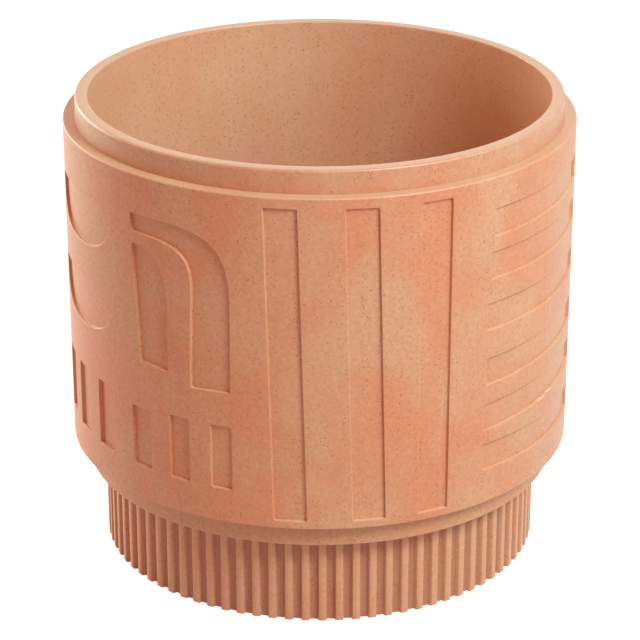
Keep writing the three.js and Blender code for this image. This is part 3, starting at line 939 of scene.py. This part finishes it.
def inner_pot_mesh():
    """The turned wall, and the pierced floor's two faces with the holes' walls between them."""
    collar_foot = LEDGE_HEIGHT + COLLAR_GAP
    profile = round_corners([
        (UNDERSIDE_SHEET_RADIUS, INNER_FLOOR_UNDERSIDE, 0, 0),
        (FOOT_INNER_RADIUS, INNER_FLOOR_UNDERSIDE, 0.5, 0),
        (FOOT_INNER_RADIUS, INNER_POT_FOOT, 0.4, 0),
        (FOOT_OUTER_RADIUS, INNER_POT_FOOT, 0.4, 0),
        (FOOT_OUTER_RADIUS, INNER_FLOOR_UNDERSIDE, 0.4, 0),
        (FLOOR_INNER_RADIUS + BASE_WALL, INNER_FLOOR_UNDERSIDE, 4, 0),
        (LIP_INNER_RADIUS + BASE_WALL, collar_foot, 0.6, 0),
        (COLLAR_RADIUS + COLLAR_DRAFT, collar_foot, 0.12, 0),
        (COLLAR_RADIUS, LIP_HEIGHT, 1.6, 0),
        (LIP_INNER_RADIUS, LIP_HEIGHT, 0.9, 0),
        (FLOOR_INNER_RADIUS, INNER_FLOOR_TOP, 5, 0),
        (FLOOR_SHEET_RADIUS, INNER_FLOOR_TOP, 0, 0),
    ])
    angles = [360 * column / INNER_COLUMNS for column in range(INNER_COLUMNS + 1)]
    wall = swept(profile, angles, lambda point, j: point.x)
    top = floor_sheet(FLOOR_SHEET_RADIUS, INNER_FLOOR_TOP, facing_up=True)
    underside = floor_sheet(UNDERSIDE_SHEET_RADIUS, INNER_FLOOR_UNDERSIDE, facing_up=False)
    return joined(wall, top, underside, hole_walls())


# Inner pot: painted light over its inside and on its lip top, paler edges that are partly wear and partly
# painted highlight, and painted shade in hollows.
inner_plastic = speckled_plastic(
    "inner_plastic", INNER_TONE, INNER_SANDY_TONE, INNER_PALE_TONE,
    clouds=22, offset=(0.7, 0.3, 0.2), roughness=0.36, grain=0.025, wear_and_highlight=0.5, hollow=0.2,
    painted_light_from=(LIP_HEIGHT - PAINTED_LIGHT_FROM_TOP) * MM,
    inward=(INSIDE_PAINTED_LIGHT, INSIDE_PAINTED_LIGHT_RADIUS * MM, LIP_INNER_RADIUS * MM, INSIDE_PAINTED_LIGHT_SHARE),
)
inner_pot = mesh_object("inner_pot_with_lip", *inner_pot_mesh())
smooth(inner_pot)
inner_pot.data.materials.append(inner_plastic)
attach(inner_pot, "inner_pot")
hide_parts("inner_pot")


# Drain plugs. Five soft rubber stoppers, each a flange on the floor of the inner pot, a stem in the
# drain hole and a tab to pull it out by. They are pressed in by hand.
PLUG_FOOT = INNER_FLOOR_TOP + 0.3
FLANGE_RADIUS = 12
FLANGE_HEIGHT = 2.4
FLANGE_TOP_RADIUS = FLANGE_RADIUS - 1.4
STEM_RADIUS = HOLE_RADIUS - 0.6
STEM_LENGTH = 3.4
TAB_HALF_WIDTH = 6
TAB_HALF_THICKNESS = 1.6
TAB_CORNER = TAB_HALF_THICKNESS * 0.8
TAB_STRETCH = 1
TAB_HEIGHT = 7.5
TAB_DOME = 2.6
# The tab's side, as (distance in from its outline, height in mm, share of the tab's height added).
TAB_STEPS = [
    (-1.15, 0, 0), (-0.8, 0, 0), (-0.24, 0.24, 0), (0, 0.8, 0),
    (0.15, -0.7, 1), (0.35, -0.2, 1), (0.8, 0, 1),
]
PLUG_COLUMNS = 56
PLUG_GUARD = 0.2
TAB_GUARD = 0.1
RUBBER_TONE = (0.17, 0.055, 0.03, 1)
RUBBER_SANDY_TONE = (0.23, 0.085, 0.048, 1)
# Paler colour for the stoppers' edges: partly wear, partly painted highlight.
RUBBER_PALE_TONE = (0.4, 0.22, 0.14, 1)
RUBBER_GRAIN = 0.04


def drain_plug_mesh(place):
    """The turned stem and flange, and the flange's top with the tab drawn up out of it."""
    top = PLUG_FOOT + FLANGE_HEIGHT
    profile = round_corners([
        (0, PLUG_FOOT - STEM_LENGTH, 0, 0),
        (STEM_RADIUS, PLUG_FOOT - STEM_LENGTH, 0.7, 0),
        (STEM_RADIUS, PLUG_FOOT, 0.4, 0),
        (FLANGE_RADIUS, PLUG_FOOT, 0.4, 0),
        (FLANGE_RADIUS, top, 0.7, 0),
        (FLANGE_TOP_RADIUS, top, 0, 0),
    ], PLUG_GUARD)
    angles = [360 * column / PLUG_COLUMNS for column in range(PLUG_COLUMNS + 1)]
    body = swept(profile, angles, lambda point, j: point.x)
    sheet = Sheet()
    sheet.add_line(circle((0, 0), FLANGE_TOP_RADIUS, PLUG_COLUMNS), 0, closed=True)
    rounded = round_corners([
        (x * TAB_HALF_WIDTH, y * TAB_HALF_THICKNESS, TAB_CORNER, 0)
        for x, y in ((-1, -1), (1, -1), (1, 1), (-1, 1))
    ], TAB_GUARD)
    outline = divided([point.xy for point in rounded], TAB_STRETCH, TAB_STRETCH)
    for level, (distance, _, _) in enumerate(TAB_STEPS):
        sheet.add_line(inset(outline, distance), level, closed=True)
    places, faces = sheet.triangles()
    tab = []
    for x, y, level in places:
        _, lift, share = TAB_STEPS[level]
        dome = TAB_DOME * (x / TAB_HALF_WIDTH) ** 2
        tab.append(Vector((x, y, top + lift + share * (TAB_HEIGHT - dome))) * MM)
    vertices, all_faces = joined(body, (tab, [tuple(face) for face in faces]))
    return [vertex + Vector((*place, 0)) * MM for vertex in vertices], all_faces


def soft_rubber():
    """Matt brown rubber, a little paler on its edges, partly wear and partly painted highlight, with
    painted shade in its hollows and the mould's fine grain.
    """
    material = bpy.data.materials.new("stopper_rubber")
    material.use_nodes = True
    tree = material.node_tree
    surface = tree.nodes["Principled BSDF"]
    place = node(tree, "ShaderNodeTexCoord").outputs["Object"]
    clouded = node(tree, "ShaderNodeGroup", {
        "Vector": place, "Tone": RUBBER_TONE, "Sandy Tone": RUBBER_SANDY_TONE,
        "Clouds per Metre": 160, "Mottle": 0.3,
    }, node_tree=PIGMENT_CLOUDS)
    edged = node(tree, "ShaderNodeGroup", {
        "Colour": clouded.outputs["Colour"], "Pale Colour": RUBBER_PALE_TONE, "Edge Wear and Highlight": 0.35,
    }, node_tree=EDGE_TONE)
    grained = node(tree, "ShaderNodeGroup", {
        "Vector": place, "Grains per Metre": 2200,
    }, node_tree=MOULDED_GRAIN)
    bump = node(tree, "ShaderNodeBump", {
        "Height": grained.outputs["Height"], "Distance": RUBBER_GRAIN * MM,
    })
    gloss = node(tree, "ShaderNodeMapRange", {
        "Value": clouded.outputs["Cloud"], "To Min": 0.7, "To Max": 0.85,
    })
    tree.links.new(edged.outputs["Colour"], surface.inputs["Base Color"])
    tree.links.new(gloss.outputs["Result"], surface.inputs["Roughness"])
    tree.links.new(bump.outputs["Normal"], surface.inputs["Normal"])
    return material


stopper_rubber = soft_rubber()
for place_name, place in HOLES.items():
    plug = mesh_object(f"stopper_{place_name}", *drain_plug_mesh(place))
    smooth(plug)
    plug.data.materials.append(stopper_rubber)
    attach(plug, f"plug_{place_name}")
    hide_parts(f"drain_plug_{place_name}")


# Floor and light. A pale studio floor that runs out to white, a soft lamp at the front right, wider
# ones at the right and the back left, and an even surround that adds a weak warm light.
FLOOR_RADIUS_M = 5
FLOOR_SIDES = 36
FLOOR_PAINT = (0.5, 0.5, 0.5, 1)
FLOOR_GLOW = 0.88
LAMP_DISTANCE_M = 1.8
KEY_LAMP = {"angle": 40, "height": 43, "size": 0.6, "power": 23.5, "colour": (0.79, 1, 1)}
RIGHT_LAMP = {"angle": 61, "height": 34, "size": 1.5, "power": 13.5, "colour": (0.6, 1, 1)}
LEFT_LAMP = {"angle": -127, "height": 12, "size": 1.2, "power": 31, "colour": (0.93, 1, 0.78)}
SURROUND = 0.55
SURROUND_TINT = (1, 0.46, 0.28, 1)
WHITE = (1, 1, 1, 1)


def studio_floor():
    """A round floor. The camera and gloss see it near white, and it keeps the pot's shadow."""
    rim = [on_circle(FLOOR_RADIUS_M / MM, 360 * i / FLOOR_SIDES, 0) for i in range(FLOOR_SIDES)]
    floor = mesh_object("floor", rim, [range(FLOOR_SIDES)])
    material = bpy.data.materials.new("pale_floor")
    material.use_nodes = True
    tree = material.node_tree
    tree.nodes.clear()
    paint = node(tree, "ShaderNodeBsdfDiffuse", {"Color": FLOOR_PAINT})
    glow = node(tree, "ShaderNodeEmission", {"Color": WHITE, "Strength": FLOOR_GLOW})
    both = node(tree, "ShaderNodeAddShader", {0: paint.outputs[0], 1: glow.outputs[0]})
    rays = node(tree, "ShaderNodeLightPath").outputs
    seen = maths(tree, "MAXIMUM", rays["Is Camera Ray"], rays["Is Glossy Ray"])
    shown = node(tree, "ShaderNodeMixShader", {0: seen, 1: paint.outputs[0], 2: both.outputs[0]})
    node(tree, "ShaderNodeOutputMaterial", {"Surface": shown.outputs[0]})
    floor.data.materials.append(material)


def studio_lamp(name, angle, height, size, power, colour):
    """A square soft box that faces the middle of the pot. Its angle round from the front and its height
    are in degrees, its size in metres and its power in watts."""
    aim = Vector((0, 0, cad_high.z / 2))
    turn, lift = math.radians(angle), math.radians(height)
    away = Vector((math.sin(turn) * math.cos(lift), -math.cos(turn) * math.cos(lift), math.sin(lift)))
    data = bpy.data.lights.new(name, "AREA")
    data.size = size
    data.energy = power
    data.color = colour
    lamp = bpy.data.objects.new(name, data)
    lamp.location = aim + away * LAMP_DISTANCE_M
    lamp.rotation_euler = away.to_track_quat("Z", "Y").to_euler()
    bpy.context.scene.collection.objects.link(lamp)


def studio_surround():
    """An even surround. The camera, gloss and glass see it white, and its light is weak and warm."""
    world = bpy.data.worlds.new("studio")
    bpy.context.scene.world = world
    world.use_nodes = True
    tree = world.node_tree
    tree.nodes.clear()
    rays = node(tree, "ShaderNodeLightPath").outputs
    seen = maths(tree, "MAXIMUM", rays["Is Camera Ray"], rays["Is Glossy Ray"])
    seen_too = maths(tree, "MAXIMUM", seen, rays["Is Transmission Ray"])
    dim = node(tree, "ShaderNodeBackground", {"Color": SURROUND_TINT, "Strength": SURROUND})
    white = node(tree, "ShaderNodeBackground", {"Color": WHITE, "Strength": 1})
    mixed = node(tree, "ShaderNodeMixShader", {0: seen_too, 1: dim.outputs[0], 2: white.outputs[0]})
    node(tree, "ShaderNodeOutputWorld", {"Surface": mixed.outputs[0]})


studio_floor()
studio_lamp("key_lamp", **KEY_LAMP)
studio_lamp("right_lamp", **RIGHT_LAMP)
studio_lamp("left_lamp", **LEFT_LAMP)
studio_surround()


# Camera. A long lens from the front, above the rim and looking down at the pot.
CAMERA_DISTANCE_M = 1.4580
CAMERA_HEIGHT_M = 0.7582
CAMERA_PITCH = 23.12
CAMERA_LENS = 144.81
PHOTO_WIDTH_PX = 640
POT_AXIS_PX = 319.64
camera_data = bpy.data.cameras.new("camera")
camera_data.lens = CAMERA_LENS
camera_data.shift_x = (PHOTO_WIDTH_PX / 2 - POT_AXIS_PX) / PHOTO_WIDTH_PX
camera = bpy.data.objects.new("camera", camera_data)
camera.location = (0, -CAMERA_DISTANCE_M, CAMERA_HEIGHT_M)
camera.rotation_euler = (math.radians(90 - CAMERA_PITCH), 0, 0)
bpy.context.scene.collection.objects.link(camera)
bpy.context.scene.camera = camera
bpy.context.scene.view_settings.view_transform = "Standard"
